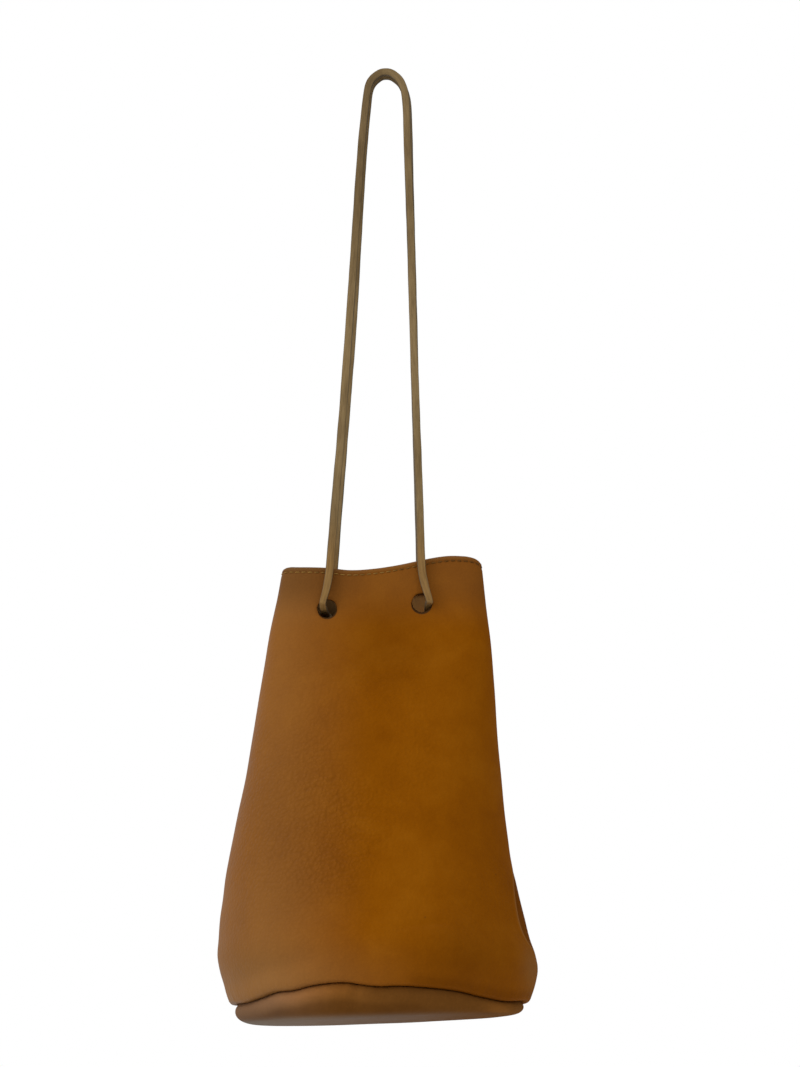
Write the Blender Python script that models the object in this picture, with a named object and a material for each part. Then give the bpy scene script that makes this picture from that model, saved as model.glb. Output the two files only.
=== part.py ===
"""Bucket bag of soft leather, hung from a hook by one long leather lace.

Two tapered panels meet in side seams and sit on a shallow round base. Every seam is turned,
so its allowance lies inside the bag. The lace runs through four punched holes under the
mouth and makes a front loop and a back loop, with its two ends knotted inside.

Units are metres, +Z is up and the front faces -Y. The pieces are laid out from the base
seam, at height 0 on the bag's axis, and then moved so that the origin is the hang point.
"""

from math import cos, hypot, pi, sin, tau

import bmesh
import bpy
from mathutils import Vector

# Leather and seams
LEATHER = 0.0022            # thickness of the panels and the base
GAP = 0.0003                # clearance between pieces that touch
SIDE_ALLOWANCE = 0.009      # turned in along each side seam
BASE_ALLOWANCE = 0.007      # turned in along the base seam
HEM = 0.012                 # leather folded inwards at the mouth
LEDGE = 0.0008              # height over which a fold's thickness begins

# Body: half width and half depth at heights above the base seam
HEIGHT = 0.317
HALF_WIDTHS = (
    (0.0, 0.1045), (0.012, 0.1100), (0.030, 0.1137), (0.058, 0.1092), (0.087, 0.1047),
    (0.116, 0.0999), (0.150, 0.0948), (0.190, 0.0902), (0.235, 0.0857), (0.265, 0.0826),
    (0.296, 0.0782), (HEIGHT, 0.0758),
)
HALF_DEPTHS = (
    (0.0, 0.1045), (0.012, 0.1095), (0.030, 0.1115), (0.058, 0.1000), (0.087, 0.0885),
    (0.116, 0.0780), (0.150, 0.0668), (0.190, 0.0540), (0.235, 0.0395), (0.265, 0.0295),
    (0.285, 0.0238), (0.300, 0.0205), (HEIGHT, 0.0185),
)
MOUTH_SQUARENESS = 1.5      # added to the ellipse's exponent 2 at the mouth
SQUARENESS_RISE = 1.5       # power of the height by which the squareness grows
PANEL_COLUMNS = 29
OUTLINE_STEPS = 400         # fine steps round half an outline, before it is spaced evenly
WALL_HEIGHTS = (
    0.012, 0.021, 0.030, 0.044, 0.058, 0.087, 0.116, 0.150, 0.190, 0.235, 0.265, 0.285,
)

# Base
BASE_DEPTH = 0.012
BASE_EDGE_RADIUS = 0.009
BASE_EDGE_STEPS = 4
BASE_SEGMENTS = 56

# Lace and its holes
LACE_RADIUS = 0.0022
HOLE_RADIUS = 0.0075
HOLE_HEIGHT = 0.284
HOLE_LEFT = -0.0385
HOLE_RIGHT = 0.0315
HOLE_SEGMENTS = 24
PUNCH_LENGTH = 0.030        # of the cutter, well through one panel
LACE_LEFT = -0.0415         # where the lace lies in the left holes
LACE_RIGHT = 0.0355
LACE_HEIGHT = 0.2865
LACE_OUTSIDE = 0.028        # the loops' hinge lines, in front of and behind the axis
LACE_SIDES = 2              # bevel resolution
LOOP_STEPS = 3              # between two points of a loop's route
CROSSING_STEPS = 2          # between two points inside the bag

# Stitching
THREAD_RADIUS = 0.00045
THREAD_SIDES = 1            # bevel resolution
STITCH_INSET = 0.004        # from the mouth's edge
RIM_THREAD_END = 0.003      # from the middle of a side seam
SEAM_THREAD_INSET = 0.0056  # from the outside of a turned seam
SIDE_THREAD_HEIGHTS = (
    0.006, 0.021, 0.044, 0.087, 0.116, 0.150, 0.190, 0.235, 0.265, 0.300,
)
SIDE_THREAD_STEPS = 2       # between two of these heights

# The hook holds the underside of both loops here, measured from the base seam's centre
HANG_POINT = Vector((0.003, 0.0, 0.7328))

# Hinge line of the mouth: the front of the base seam
MOUTH_PIVOT = Vector((0.0, -HALF_DEPTHS[0][1], 0.0))
FRONT_LOOP_PIVOT = Vector((0.0, -LACE_OUTSIDE, LACE_HEIGHT))
BACK_LOOP_PIVOT = Vector((0.0, LACE_OUTSIDE, LACE_HEIGHT))

# The front loop, up from the left hole, over the hook and down to the right hole
FRONT_LOOP = (
    (-0.0415, -0.0280, 0.2890), (-0.0402, -0.0268, 0.2970), (-0.0378, -0.0226, 0.3100),
    (-0.0363, -0.0218, 0.3260), (-0.0340, -0.0200, 0.3650), (-0.0305, -0.0183, 0.4150),
    (-0.0270, -0.0163, 0.4700), (-0.0232, -0.0138, 0.5350), (-0.0198, -0.0112, 0.6000),
    (-0.0162, -0.0080, 0.6650), (-0.0126, -0.0045, 0.7080), (-0.0098, -0.0035, 0.7250),
    (-0.0030, -0.0032, 0.7331), (0.0030, -0.0032, 0.7350), (0.0090, -0.0032, 0.7331),
    (0.0158, -0.0035, 0.7250), (0.0194, -0.0045, 0.7080), (0.0206, -0.0080, 0.6650),
    (0.0226, -0.0112, 0.6000), (0.0242, -0.0138, 0.5350), (0.0257, -0.0163, 0.4700),
    (0.0271, -0.0183, 0.4150), (0.0286, -0.0200, 0.3650), (0.0298, -0.0218, 0.3260),
    (0.0312, -0.0226, 0.3100), (0.0343, -0.0268, 0.2970), (0.0355, -0.0280, 0.2890),
)

# The back loop hangs a little to the right of the front one
BACK_LOOP = (
    (-0.0415, 0.0280, 0.2890), (-0.0395, 0.0268, 0.2970), (-0.0345, 0.0226, 0.3100),
    (-0.0325, 0.0218, 0.3260), (-0.0302, 0.0200, 0.3650), (-0.0275, 0.0183, 0.4150),
    (-0.0248, 0.0163, 0.4700), (-0.0217, 0.0138, 0.5350), (-0.0186, 0.0112, 0.6000),
    (-0.0150, 0.0080, 0.6650), (-0.0116, 0.0045, 0.7080), (-0.0090, 0.0035, 0.7250),
    (-0.0024, 0.0032, 0.7331), (0.0034, 0.0032, 0.7350), (0.0096, 0.0032, 0.7331),
    (0.0168, 0.0035, 0.7250), (0.0208, 0.0045, 0.7080), (0.0220, 0.0080, 0.6650),
    (0.0235, 0.0112, 0.6000), (0.0250, 0.0138, 0.5350), (0.0264, 0.0163, 0.4700),
    (0.0278, 0.0183, 0.4150), (0.0291, 0.0200, 0.3650), (0.0301, 0.0218, 0.3260),
    (0.0316, 0.0226, 0.3100), (0.0345, 0.0268, 0.2970), (0.0355, 0.0280, 0.2890),
)

# The lace inside the bag, from a front hole to the back hole behind it
RIGHT_CROSSING = (
    (LACE_RIGHT, -LACE_OUTSIDE, LACE_HEIGHT), (LACE_RIGHT, -0.0215, LACE_HEIGHT),
    (LACE_RIGHT, -0.0120, 0.2850), (LACE_RIGHT, 0.0, 0.2842),
    (LACE_RIGHT, 0.0120, 0.2850), (LACE_RIGHT, 0.0215, LACE_HEIGHT),
    (LACE_RIGHT, LACE_OUTSIDE, LACE_HEIGHT),
)
LEFT_CROSSING_FRONT = (
    (LACE_LEFT, -LACE_OUTSIDE, LACE_HEIGHT), (LACE_LEFT, -0.0215, LACE_HEIGHT),
    (LACE_LEFT, -0.0150, 0.2858), (LACE_LEFT, -0.0076, 0.2845),
)
LEFT_CROSSING_BACK = tuple((x, -y, z) for x, y, z in LEFT_CROSSING_FRONT)
KNOT_CENTRE = Vector((LACE_LEFT, 0.0, 0.2830))
KNOT_HALF_SIZE = (0.0062, 0.0070, 0.0062)
LACE_END_FRONT = (
    (-0.0420, -0.0028, 0.2752), (-0.0424, -0.0034, 0.2680), (-0.0418, -0.0048, 0.2590),
)
LACE_END_BACK = (
    (-0.0410, 0.0028, 0.2752), (-0.0404, 0.0036, 0.2690), (-0.0396, 0.0044, 0.2620),
)


def clear_scene():
    for item in list(bpy.data.objects):
        bpy.data.objects.remove(item, do_unlink=True)


def make_material(name, colour, roughness):
    material = bpy.data.materials.new(name)
    material.use_nodes = True
    shader = material.node_tree.nodes["Principled BSDF"]
    shader.inputs["Base Color"].default_value = (*colour, 1.0)
    shader.inputs["Roughness"].default_value = roughness
    shader.inputs["Metallic"].default_value = 0.0
    return material


def add_piece(name, mesh_data, material, pivot):
    """Link an object laid out from the base seam, with its origin on its pivot."""
    piece = bpy.data.objects.new(name, mesh_data)
    piece.location = pivot - HANG_POINT
    piece.data.materials.append(material)
    bpy.context.scene.collection.objects.link(piece)
    return piece


def mesh_from(bm, name, pivot):
    """Close a bmesh laid out from the base seam into a mesh around its pivot."""
    bmesh.ops.recalc_face_normals(bm, faces=bm.faces)
    bmesh.ops.translate(bm, verts=bm.verts, vec=-pivot)
    mesh = bpy.data.meshes.new(name)
    bm.to_mesh(mesh)
    bm.free()
    return mesh


def curve_value(points, height):
    """Read a smooth curve through (height, value) points."""
    last = len(points) - 2
    index = 0
    while index < last and height > points[index + 1][0]:
        index += 1
    before = points[max(index - 1, 0)]
    start = points[index]
    end = points[index + 1]
    after = points[min(index + 2, len(points) - 1)]
    span = end[0] - start[0]
    slope_in = (end[1] - before[1]) / (end[0] - before[0])
    slope_out = (after[1] - start[1]) / (after[0] - start[0])
    t = (height - start[0]) / span
    return (
        (2 * t**3 - 3 * t**2 + 1) * start[1]
        + (t**3 - 2 * t**2 + t) * span * slope_in
        + (3 * t**2 - 2 * t**3) * end[1]
        + (t**3 - t**2) * span * slope_out
    )


def half_oval(height, inset, clear_of_middle, count):
    """Points on the front half of the body's outline, from right to left.

    inset moves the outline inwards, and the points keep clear_of_middle from the plane of
    the side seams. They lie evenly along the outline.
    """
    half_width = curve_value(HALF_WIDTHS, height) - inset
    half_depth = curve_value(HALF_DEPTHS, height) - inset
    exponent = 2.0 + MOUTH_SQUARENESS * (height / HEIGHT) ** SQUARENESS_RISE
    fine = []
    for step in range(OUTLINE_STEPS + 1):
        angle = pi * step / OUTLINE_STEPS
        x = half_width * abs(cos(angle)) ** (2 / exponent) * (1 if cos(angle) >= 0 else -1)
        y = -half_depth * sin(angle) ** (2 / exponent) if 0 < step < OUTLINE_STEPS else 0.0
        if y <= -clear_of_middle:
            fine.append((x, y))
    # The outline's ends lie exactly on the clearance line
    fine[0] = (fine[0][0], -clear_of_middle)
    fine[-1] = (fine[-1][0], -clear_of_middle)
    lengths = [0.0]
    for start, end in zip(fine, fine[1:]):
        lengths.append(lengths[-1] + hypot(end[0] - start[0], end[1] - start[1]))
    points = []
    index = 0
    for number in range(count):
        wanted = lengths[-1] * number / (count - 1)
        while index < len(fine) - 2 and lengths[index + 1] < wanted:
            index += 1
        share = (wanted - lengths[index]) / (lengths[index + 1] - lengths[index])
        points.append((
            fine[index][0] + share * (fine[index + 1][0] - fine[index][0]),
            fine[index][1] + share * (fine[index + 1][1] - fine[index][1]),
        ))
    return points


def panel_row(height, thickness):
    """One closed loop round a panel's cut edge at a height, with its side allowances."""
    seam_face = GAP / 2
    outer = half_oval(height, 0.0, seam_face, PANEL_COLUMNS)
    inner = half_oval(height, thickness, seam_face + LEATHER, PANEL_COLUMNS)
    right = outer[0][0] - SIDE_ALLOWANCE
    left = outer[-1][0] + SIDE_ALLOWANCE
    fold_left = [(left, -seam_face), (left, -seam_face - LEATHER)]
    fold_right = [(right, -seam_face - LEATHER), (right, -seam_face)]
    return outer + fold_left + inner[::-1] + fold_right


def panel_rows():
    """Heights of a panel's rows, with the thickness of the wall at each."""
    rows = [
        (0.0, BASE_ALLOWANCE),
        (LEATHER, BASE_ALLOWANCE),
        (LEATHER + LEDGE, LEATHER),
    ]
    for height in WALL_HEIGHTS:
        rows.append((height, LEATHER))
    rows.append((HEIGHT - HEM - LEDGE, LEATHER))
    rows.append((HEIGHT - HEM, 2 * LEATHER))
    rows.append((HEIGHT, 2 * LEATHER))
    return rows


def make_panel(name, side, material, pivot):
    """A front (side 1) or back (side -1) panel, closed all round."""
    bm = bmesh.new()
    loops = []
    for height, thickness in panel_rows():
        row = panel_row(height, thickness)
        loops.append([bm.verts.new((x, y * side, height)) for x, y in row])
    for lower, upper in zip(loops, loops[1:]):
        for index, corner in enumerate(lower):
            following = (index + 1) % len(lower)
            bm.faces.new((corner, lower[following], upper[following], upper[index]))
    for loop in (loops[0], loops[-1]):
        cap_edge_row(bm, loop)
    panel = add_piece(name, mesh_from(bm, name, pivot), material, pivot)
    for hole, x in (("left", HOLE_LEFT), ("right", HOLE_RIGHT)):
        punch_hole(panel, f"{name}_{hole}_punch", x, side)
    return panel


def cap_edge_row(bm, loop):
    """Close a panel's cut edge: quads across the wall, and one quad for each allowance."""
    count = PANEL_COLUMNS
    inner = loop[count + 2:2 * count + 2][::-1]
    for index in range(count - 1):
        bm.faces.new((loop[index], loop[index + 1], inner[index + 1], inner[index]))
    bm.faces.new((loop[count - 1], loop[count], loop[count + 1], inner[count - 1]))
    bm.faces.new((loop[0], inner[0], loop[2 * count + 2], loop[2 * count + 3]))


def punch_hole(panel, name, x, side):
    """Cut one round lace hole along Y."""
    bm = bmesh.new()
    bmesh.ops.create_cone(
        bm, cap_ends=True, segments=HOLE_SEGMENTS,
        radius1=HOLE_RADIUS, radius2=HOLE_RADIUS, depth=PUNCH_LENGTH,
    )
    mesh = bpy.data.meshes.new(name)
    bm.to_mesh(mesh)
    bm.free()
    cutter = bpy.data.objects.new(name, mesh)
    depth = curve_value(HALF_DEPTHS, HOLE_HEIGHT)
    cutter.location = Vector((x, -side * depth, HOLE_HEIGHT)) - HANG_POINT
    cutter.rotation_euler = (pi / 2, 0.0, 0.0)
    cutter.display_type = "WIRE"
    cutter.hide_render = True
    bpy.context.scene.collection.objects.link(cutter)
    cut = panel.modifiers.new(name, "BOOLEAN")
    cut.operation = "DIFFERENCE"
    cut.solver = "EXACT"
    cut.object = cutter


def make_base(material):
    """The shallow round base, turned inwards where it meets the panels' allowances."""
    rim = HALF_DEPTHS[0][1]
    inner_edge = rim - BASE_ALLOWANCE
    top = -GAP
    floor = -BASE_DEPTH
    outer = [(rim, top)]
    inner = [(rim - LEATHER, top - LEATHER)]
    reach = BASE_EDGE_RADIUS - LEATHER
    for step in range(BASE_EDGE_STEPS + 1):
        turn = pi / 2 * step / BASE_EDGE_STEPS
        outer.append((
            rim - BASE_EDGE_RADIUS * (1 - cos(turn)),
            floor + BASE_EDGE_RADIUS * (1 - sin(turn)),
        ))
        inner.append((
            rim - BASE_EDGE_RADIUS + reach * cos(turn),
            floor + BASE_EDGE_RADIUS - reach * sin(turn),
        ))
    profile = [(inner_edge, top - LEATHER), (inner_edge, top)]
    profile = inner[::-1] + profile + outer
    bm = bmesh.new()
    rings = []
    for radius, height in profile:
        ring = []
        for number in range(BASE_SEGMENTS):
            angle = tau * number / BASE_SEGMENTS
            ring.append(bm.verts.new((radius * cos(angle), radius * sin(angle), height)))
        rings.append(ring)
    for lower, upper in zip(rings, rings[1:]):
        for number in range(BASE_SEGMENTS):
            following = (number + 1) % BASE_SEGMENTS
            bm.faces.new((lower[number], lower[following], upper[following], upper[number]))
    bm.faces.new(rings[0])
    bm.faces.new(rings[-1])
    pivot = Vector((0.0, 0.0, 0.0))
    return add_piece("base_panel", mesh_from(bm, "base_panel", pivot), material, pivot)


def smooth_route(route, steps):
    """Points on a smooth curve through a route's own points."""
    points = [Vector(point) for point in route]
    padded = [2 * points[0] - points[1], *points, 2 * points[-1] - points[-2]]
    line = []
    for index in range(1, len(padded) - 2):
        before, start, end, after = padded[index - 1:index + 3]
        for step in range(steps):
            t = step / steps
            line.append(0.5 * (
                2 * start
                + (end - before) * t
                + (2 * before - 5 * start + 4 * end - after) * t**2
                + (3 * start - before - 3 * end + after) * t**3
            ))
    line.append(points[-1])
    return line


def make_tube(name, route, radius, steps, sides, material, pivot):
    """An open tube with filled ends along a route, as a curve object."""
    curve = tube_curve(name, smooth_route(route, steps), radius, sides, pivot)
    return add_piece(name, curve, material, pivot)


def tube_curve(name, line, radius, sides, pivot):
    """A round bevelled curve along points laid out from the base seam."""
    curve = bpy.data.curves.new(name, "CURVE")
    curve.dimensions = "3D"
    curve.bevel_depth = radius
    curve.bevel_resolution = sides
    curve.use_fill_caps = True
    spline = curve.splines.new("POLY")
    spline.points.add(len(line) - 1)
    for corner, place in zip(spline.points, line):
        corner.co = (*(place - pivot), 1.0)
    return curve


def make_knot(material):
    """The knot that joins the lace's two ends."""
    pivot = Vector((0.0, 0.0, 0.0))
    bm = bmesh.new()
    bmesh.ops.create_icosphere(bm, subdivisions=2, radius=1.0)
    for vert in bm.verts:
        for axis in range(3):
            vert.co[axis] *= KNOT_HALF_SIZE[axis]
        vert.co += KNOT_CENTRE
    knot = add_piece("lace_knot", mesh_from(bm, "lace_knot", pivot), material, pivot)
    knot.data.shade_smooth()
    return knot


def make_rim_thread(name, side, material, pivot):
    """The topstitching round one half of the mouth."""
    line = half_oval(HEIGHT - STITCH_INSET, -GAP - THREAD_RADIUS, RIM_THREAD_END, PANEL_COLUMNS)
    route = [(x, y * side, HEIGHT - STITCH_INSET) for x, y in line]
    return make_tube(name, route, THREAD_RADIUS, 1, THREAD_SIDES, material, pivot)


def make_side_thread(name, hand, material):
    """The thread down one side seam, on the front panel's allowance."""
    inset = GAP / 2 + LEATHER + GAP + THREAD_RADIUS
    route = []
    for height in SIDE_THREAD_HEIGHTS:
        x = hand * (curve_value(HALF_WIDTHS, height) - SEAM_THREAD_INSET)
        route.append((x, -inset, height))
    return make_tube(
        name, route, THREAD_RADIUS, SIDE_THREAD_STEPS, THREAD_SIDES, material, MOUTH_PIVOT
    )


def make_base_thread(material):
    """The thread of the base seam, under the base's own allowance."""
    radius = HALF_DEPTHS[0][1] - SEAM_THREAD_INSET
    height = -GAP - LEATHER - GAP - THREAD_RADIUS
    ring = []
    for number in range(BASE_SEGMENTS):
        angle = tau * number / BASE_SEGMENTS
        ring.append(Vector((radius * cos(angle), radius * sin(angle), height)))
    centre = Vector((0.0, 0.0, 0.0))
    curve = tube_curve("base_seam_thread", ring, THREAD_RADIUS, THREAD_SIDES, centre)
    curve.splines[0].use_cyclic_u = True
    return add_piece("base_seam_thread", curve, material, centre)


def make_bag():
    clear_scene()
    centre = Vector((0.0, 0.0, 0.0))
    body_leather = make_material("caramel_leather", (0.205, 0.078, 0.014), 0.46)
    base_leather = make_material("base_leather", (0.170, 0.078, 0.026), 0.52)
    lace_leather = make_material("lace_leather", (0.205, 0.136, 0.065), 0.55)
    thread = make_material("sewing_thread", (0.240, 0.140, 0.055), 0.70)

    make_panel("front_panel", 1, body_leather, MOUTH_PIVOT)
    make_panel("back_panel", -1, body_leather, centre)
    make_base(base_leather)
    make_rim_thread("rim_thread_front", 1, thread, MOUTH_PIVOT)
    make_rim_thread("rim_thread_back", -1, thread, centre)
    make_side_thread("side_seam_thread_left", -1, thread)
    make_side_thread("side_seam_thread_right", 1, thread)
    make_base_thread(thread)

    for name, route, steps, pivot in (
        ("front_strap", FRONT_LOOP, LOOP_STEPS, FRONT_LOOP_PIVOT),
        ("back_strap", BACK_LOOP, LOOP_STEPS, BACK_LOOP_PIVOT),
        ("lace_crossing_right", RIGHT_CROSSING, CROSSING_STEPS, centre),
        ("lace_crossing_left_front", LEFT_CROSSING_FRONT, CROSSING_STEPS, centre),
        ("lace_crossing_left_back", LEFT_CROSSING_BACK, CROSSING_STEPS, centre),
        ("lace_end_front", LACE_END_FRONT, CROSSING_STEPS, centre),
        ("lace_end_back", LACE_END_BACK, CROSSING_STEPS, centre),
    ):
        make_tube(name, route, LACE_RADIUS, steps, LACE_SIDES, lace_leather, pivot)
    make_knot(lace_leather)


make_bag()
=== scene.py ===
"""Looks of the bucket bag: soft leather body, base, stitching and the hanging lace."""

from functools import cache
from math import cos, pi, radians, sin, tau

import bmesh
import bpy
import numpy as np
from mathutils import Matrix, Vector, noise


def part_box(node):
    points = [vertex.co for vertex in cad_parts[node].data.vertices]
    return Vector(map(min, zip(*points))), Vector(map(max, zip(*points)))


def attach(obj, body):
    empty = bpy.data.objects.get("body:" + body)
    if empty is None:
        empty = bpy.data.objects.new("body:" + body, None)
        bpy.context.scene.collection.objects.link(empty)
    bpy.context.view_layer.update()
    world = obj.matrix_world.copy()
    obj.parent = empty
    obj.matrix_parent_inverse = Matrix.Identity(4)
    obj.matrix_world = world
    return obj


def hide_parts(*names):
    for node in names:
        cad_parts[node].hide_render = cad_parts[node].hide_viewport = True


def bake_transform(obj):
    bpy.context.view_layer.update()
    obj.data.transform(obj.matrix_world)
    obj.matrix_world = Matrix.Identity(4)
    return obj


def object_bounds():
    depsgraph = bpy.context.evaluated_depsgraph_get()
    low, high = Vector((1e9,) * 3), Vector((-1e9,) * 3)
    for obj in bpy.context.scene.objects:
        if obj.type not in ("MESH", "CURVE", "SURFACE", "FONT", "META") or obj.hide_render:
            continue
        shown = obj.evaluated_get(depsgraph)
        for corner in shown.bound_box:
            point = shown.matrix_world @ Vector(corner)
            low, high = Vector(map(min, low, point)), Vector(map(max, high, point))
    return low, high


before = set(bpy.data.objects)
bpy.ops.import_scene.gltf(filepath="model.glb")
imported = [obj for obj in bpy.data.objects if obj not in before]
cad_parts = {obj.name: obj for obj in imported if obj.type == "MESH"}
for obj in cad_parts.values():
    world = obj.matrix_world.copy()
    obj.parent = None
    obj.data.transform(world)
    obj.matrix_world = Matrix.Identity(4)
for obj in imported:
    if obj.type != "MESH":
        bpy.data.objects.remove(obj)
cad_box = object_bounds()

MM = 0.001
LEATHER = 2.2 * MM

# The base seam's centre, which every route below is laid out from
front_low, front_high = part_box("front_panel")
base_low, base_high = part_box("base_panel")
SEAM_CENTRE = Vector((
    (base_low[0] + base_high[0]) / 2, (base_low[1] + base_high[1]) / 2, front_low[2],
))
HEIGHT = front_high[2] - front_low[2]
SEAM_RADIUS = (base_high[0] - base_low[0]) / 2


def placed(point):
    return SEAM_CENTRE + Vector(point)


# ---- camera
camera_data = bpy.data.cameras.new("camera")
camera_data.lens = 72.0
camera_data.sensor_width = 36.0
camera = bpy.data.objects.new("camera", camera_data)
camera.location = placed((0.0146, -1.55, -0.108))
camera.rotation_euler = (radians(90 + 16.39), 0.0, 0.0)
bpy.context.scene.collection.objects.link(camera)
bpy.context.scene.camera = camera


# ---- node helpers
class Nodes:
    """Short calls for one node tree. A value is another node's output, a number or a colour."""

    def __init__(self, owner):
        owner.use_nodes = True
        self.owner = owner
        self.tree = owner.node_tree

    def feed(self, socket, value):
        if isinstance(value, bpy.types.NodeSocket):
            self.tree.links.new(value, socket)
        elif socket.type == "RGBA":
            socket.default_value = (*value, 1.0)
        else:
            socket.default_value = value

    def add(self, kind, inputs, **properties):
        made = self.tree.nodes.new("ShaderNode" + kind)
        for name, value in properties.items():
            setattr(made, name, value)
        for key, value in inputs.items():
            self.feed(made.inputs[key], value)
        return made

    def rest(self):
        return self.add("Attribute", {}, attribute_name="rest").outputs["Vector"]

    def marks(self):
        stored = self.add("Attribute", {}, attribute_name="marks").outputs
        return *self.add("SeparateColor", {"Color": stored["Color"]}).outputs, stored["Alpha"]

    def noise(self, vector, scale, detail=3.0, rough=0.5, distortion=0.0):
        return self.add("TexNoise", {
            "Vector": vector, "Scale": scale, "Detail": detail, "Roughness": rough, "Distortion": distortion,
        }).outputs["Fac"]

    def ramp(self, value, *stops):
        made = self.add("ValToRGB", {"Fac": value})
        elements = made.color_ramp.elements
        while len(elements) < len(stops):
            elements.new(0.5)
        for element, (place, colour) in zip(elements, stops):
            element.position = place
            element.color = (*colour, 1.0)
        return made.outputs["Color"]

    def remap(self, value, low, high, to_low=0.0, to_high=1.0):
        return self.add("MapRange", {
            "Value": value, "From Min": low, "From Max": high, "To Min": to_low, "To Max": to_high,
        }).outputs["Result"]

    def times(self, first, second):
        return self.add("Math", {0: first, 1: second}, operation="MULTIPLY").outputs[0]

    def plus(self, first, second):
        return self.add("Math", {0: first, 1: second}, operation="ADD").outputs[0]

    def weighted(self, first, *others):
        """The sum of (value, weight) pairs."""
        total = self.times(*first)
        for other in others:
            total = self.plus(total, self.times(*other))
        return total

    def mix(self, factor, first, second, kind="MIX"):
        made = self.add("Mix", {}, data_type="RGBA", blend_type=kind)
        for number, value in ((0, factor), (6, first), (7, second)):
            self.feed(made.inputs[number], value)
        return made.outputs[2]

    def tint(self, factor, colour, by):
        """The colour, multiplied by another one as far as a factor says."""
        return self.mix(factor, colour, self.mix(1.0, colour, by, "MULTIPLY"))

    def bump(self, height, strength, distance):
        return self.add("Bump", {
            "Height": height, "Strength": strength, "Distance": distance * MM,
        }).outputs["Normal"]

    def shaded(self, **sockets):
        """The material, with its shader's sockets fed. Their names have _ for a space."""
        shader = self.tree.nodes["Principled BSDF"]
        for name, value in sockets.items():
            self.feed(shader.inputs[name.replace("_", " ")], value)
        return self.owner


# ---- materials
# Each mesh stores "rest", its points' places at rest, which the patterns are drawn at, and
# "marks": wear and painted sheen, painted shade, grainy and painted light amounts for leather, cut side,
# painted shade (dark) and golden for lace
def leather_material(name, tones, wear_and_sheen_colour, gloss, level, rough):
    """Dyed grain side, with pores, pebbles and a few specks."""
    nodes = Nodes(bpy.data.materials.new(name))
    place = nodes.rest()
    wear_and_sheen, shade, grainy, painted_light = nodes.marks()
    clouds = nodes.noise(place, 14.0, 4.0, 0.55, 0.6)
    blotches = nodes.noise(place, 60.0, 5.0, 0.6, 0.3)
    fibres = nodes.noise(place, 900.0, 3.0, 0.6)
    tone = nodes.weighted((clouds, 0.6), (blotches, 0.3), (fibres, 0.1))
    colour = nodes.ramp(tone, *zip((0.34, 0.5, 0.66), tones))
    # Wear and painted sheen turn the colour greyer, painted shade darkens it and painted light brightens it
    colour = nodes.mix(wear_and_sheen, colour, wear_and_sheen_colour)
    colour = nodes.tint(shade, colour, (0.42, 0.36, 0.33))
    colour = nodes.tint(painted_light, colour, (2.0, 2.0, 2.0))

    drift = nodes.add("TexNoise", {"Vector": place, "Scale": 180.0}).outputs["Color"]
    warped = nodes.add(
        "VectorMath", {0: drift, 1: (0.0022, 0.0022, 0.0022), 2: place}, operation="MULTIPLY_ADD",
    ).outputs[0]
    pebbles = nodes.add(
        "TexVoronoi", {"Vector": warped, "Scale": 400.0, "Smoothness": 0.6}, feature="SMOOTH_F1",
    )
    pebble_height = nodes.times(pebbles.outputs["Distance"], grainy)
    fine = nodes.noise(place, 1500.0, 4.0, 0.6)
    soft = nodes.noise(place, 260.0, 4.0, 0.55, 0.8)
    relief = nodes.weighted((pebble_height, -1.9), (fine, 0.1), (soft, 0.3))
    colour = nodes.tint(nodes.times(pebble_height, 0.45), colour, (0.62, 0.56, 0.5))

    dots = nodes.add("TexVoronoi", {"Vector": place, "Scale": 26.0}).outputs["Distance"]
    near_dot = nodes.remap(dots, 0.012, 0.03, 1.0, 0.0)
    colour = nodes.mix(nodes.times(near_dot, 0.7), colour, (0.035, 0.016, 0.006))

    # The polish has gone from the right of the bag
    across = nodes.add("SeparateXYZ", {0: place}).outputs["X"]
    dulled = nodes.remap(across, 0.03, 0.09, 0.0, 0.45)
    polish = nodes.remap(blotches, 0.3, 0.7, *rough)
    return nodes.shaded(
        Base_Color=colour, Normal=nodes.bump(relief, 0.6, 0.8), Specular_Tint=gloss,
        Specular_IOR_Level=level, Roughness=nodes.plus(polish, dulled),
    )


def flesh_material(name, dark, light, sheen):
    """The raw inner side of the leather: matt, fibrous and paler."""
    nodes = Nodes(bpy.data.materials.new(name))
    place = nodes.rest()
    fibres = nodes.noise(place, 700.0, 6.0, 0.7, 1.2)
    clouds = nodes.noise(place, 30.0)
    colour = nodes.ramp(nodes.weighted((fibres, 0.5), (clouds, 0.5)), (0.35, dark), (0.65, light))
    _, shade, _, painted_light = nodes.marks()
    # Painted shade darkens the inside behind the left holes, and painted light brightens it behind the right
    # holes
    colour = nodes.tint(shade, colour, (0.2, 0.22, 0.25))
    colour = nodes.tint(painted_light, colour, (1.85, 1.42, 0.85))
    return nodes.shaded(
        Base_Color=colour, Roughness=nodes.remap(fibres, 0.3, 0.7, 0.78, 0.92),
        Normal=nodes.bump(fibres, 0.6, 0.6), Specular_IOR_Level=0.05, Sheen_Weight=sheen,
    )


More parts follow.
